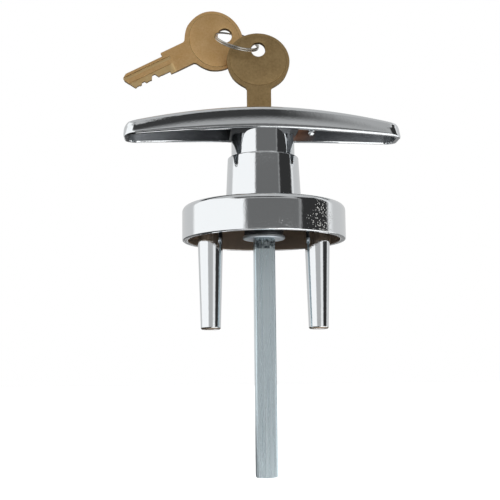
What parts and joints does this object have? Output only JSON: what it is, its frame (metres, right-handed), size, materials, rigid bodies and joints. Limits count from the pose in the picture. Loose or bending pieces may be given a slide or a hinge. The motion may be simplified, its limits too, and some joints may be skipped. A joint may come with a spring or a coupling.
{
  "type": "garage door t handle lock",
  "caption": "Chrome T handle with a key lock in its stem, turning a square shaft through a round rose with threaded mounting posts, with keys on a split ring.",
  "frame": {"origin": "centre of the rose's rim, in the plane that meets the door", "axes": "+Z out of the door along the square shaft's axis, X along the T-bar and the line of the two posts"},
  "size_m": [0.1097, 0.0634, 0.1848],
  "materials": {
    "chrome": "bright chrome plate on a zinc die casting",
    "zinc_steel": "clear zinc plate on cold-drawn steel",
    "spring_steel": "bare spring steel",
    "nickel_steel": "nickel-plated steel wire",
    "key_brass": "dull stamped brass",
    "plug_brass": "turned brass"
  },
  "bodies": {
    "rose": {"rose": "chrome"},
    "handle": {"handle": "chrome", "square_shaft": "zinc_steel", "shaft_pin": "spring_steel", "shaft_washer": "zinc_steel", "retaining_ring": "spring_steel", "spring_washer": "spring_steel", "plug_retaining_pin": "spring_steel"},
    "lock_plug": {"lock_plug": "plug_brass", "wafer_spring_1": "spring_steel", "wafer_spring_2": "spring_steel", "wafer_spring_3": "spring_steel", "wafer_spring_4": "spring_steel", "wafer_spring_5": "spring_steel"},
    "locking_bolt": {"locking_bolt": "zinc_steel"},
    "wafer_1": {"wafer_1": "plug_brass"},
    "wafer_2": {"wafer_2": "plug_brass"},
    "wafer_3": {"wafer_3": "plug_brass"},
    "wafer_4": {"wafer_4": "plug_brass"},
    "wafer_5": {"wafer_5": "plug_brass"},
    "key_in_lock": {"key_in_lock": "key_brass"},
    "split_ring": {"split_ring": "nickel_steel"},
    "spare_key": {"spare_key": "key_brass"}
  },
  "joints": [
    {"name": "handle_turn", "type": "hinge", "parent": "rose", "child": "handle", "pos_m": [0, 0, 0], "axis": [0, 0, 1], "range_deg": [-90, 90]},
    {"name": "key_turn", "type": "hinge", "parent": "handle", "child": "lock_plug", "pos_m": [0, 0, 0.03], "axis": [0, 0, 1], "range_deg": [0, 90]},
    {"name": "bolt_slide", "type": "slide", "parent": "handle", "child": "locking_bolt", "axis": [0, 1, 0], "range_m": [0, 0.0024]},
    {"name": "key_slide", "type": "slide", "parent": "lock_plug", "child": "key_in_lock", "axis": [0, 0, 1], "range_m": [0, 0.022]},
    {"name": "ring_swing", "type": "hinge", "parent": "key_in_lock", "child": "split_ring", "pos_m": [-0.0015, 0, 0.0769], "axis": [0, 1, 0], "range_deg": [-8, 60]},
    {"name": "spare_key_swing", "type": "hinge", "parent": "split_ring", "child": "spare_key", "pos_m": [-0.01448, 0.006, 0.08461], "axis": [0, 1, 0], "range_deg": [-10, 60]},
    {"name": "wafer_1_travel", "type": "slide", "parent": "lock_plug", "child": "wafer_1", "axis": [-1, 0, 0], "range_m": [0, 0.0012], "stiffness_N_per_m": 120, "springref_m": -0.0005, "deforming": ["wafer_spring_1"]},
    {"name": "wafer_2_travel", "type": "slide", "parent": "lock_plug", "child": "wafer_2", "axis": [-1, 0, 0], "range_m": [0, 0.0012], "stiffness_N_per_m": 120, "springref_m": -0.0005, "deforming": ["wafer_spring_2"]},
    {"name": "wafer_3_travel", "type": "slide", "parent": "lock_plug", "child": "wafer_3", "axis": [-1, 0, 0], "range_m": [0, 0.0012], "stiffness_N_per_m": 120, "springref_m": -0.0005, "deforming": ["wafer_spring_3"]},
    {"name": "wafer_4_travel", "type": "slide", "parent": "lock_plug", "child": "wafer_4", "axis": [-1, 0, 0], "range_m": [0, 0.0012], "stiffness_N_per_m": 120, "springref_m": -0.0005, "deforming": ["wafer_spring_4"]},
    {"name": "wafer_5_travel", "type": "slide", "parent": "lock_plug", "child": "wafer_5", "axis": [-1, 0, 0], "range_m": [0, 0.0012], "stiffness_N_per_m": 120, "springref_m": -0.0005, "deforming": ["wafer_spring_5"]}
  ],
  "couplings": [
    {"joint": "bolt_slide", "follows": "key_turn", "m_per_rad": 0.0015279}
  ]
}
